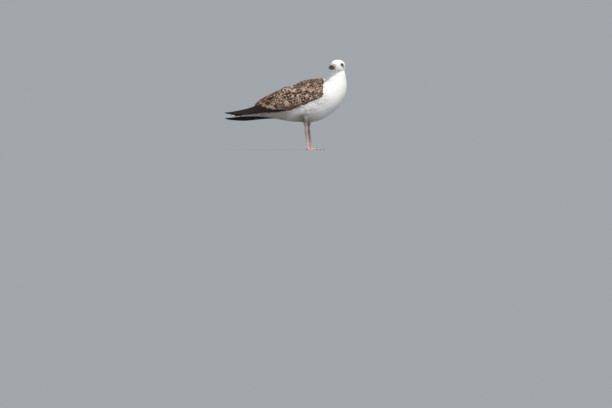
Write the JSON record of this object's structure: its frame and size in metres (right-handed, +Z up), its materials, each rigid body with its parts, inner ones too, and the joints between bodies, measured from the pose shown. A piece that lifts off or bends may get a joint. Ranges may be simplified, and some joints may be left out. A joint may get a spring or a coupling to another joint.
{
  "type": "standing young great black-backed gull, still model",
  "caption": "Life-size still model of a standing young gull, head turned to its right, wings folded over the tail, webbed feet flat on the floor.",
  "frame": {"origin": "on the floor under the middle of the whole bird's box", "axes": "+X the way the body faces, from tail to breast; +Y the bird's left; +Z up"},
  "size_m": [0.588, 0.174, 0.432],
  "materials": {
    "plumage_pale": "soft matt white feather with faint grey-brown mottling on the breast side and flank",
    "plumage_brown": "matt feather, blackish brown chequered with cream",
    "bill_horn": "satin horn, pink at the base and black towards the tip",
    "eye_dark": "wet gloss, dark brown",
    "leg_skin": "scaly flesh-pink skin, semi-matt",
    "claw_horn": "dark horn"
  },
  "bodies": {
    "root": {"trunk": "plumage_pale", "neck": "plumage_pale", "head": "plumage_pale", "tail": "plumage_pale", "thigh_left": "plumage_pale", "thigh_right": "plumage_pale", "wing_left": "plumage_brown", "wing_right": "plumage_brown", "bill_upper": "bill_horn", "bill_lower": "bill_horn", "eye_left": "eye_dark", "eye_right": "eye_dark", "tarsus_left": "leg_skin", "tarsus_right": "leg_skin", "foot_left": "leg_skin", "foot_right": "leg_skin", "claw_inner_left": "claw_horn", "claw_middle_left": "claw_horn", "claw_outer_left": "claw_horn", "claw_hind_left": "claw_horn", "claw_inner_right": "claw_horn", "claw_middle_right": "claw_horn", "claw_outer_right": "claw_horn", "claw_hind_right": "claw_horn"}
  },
  "joints": []
}
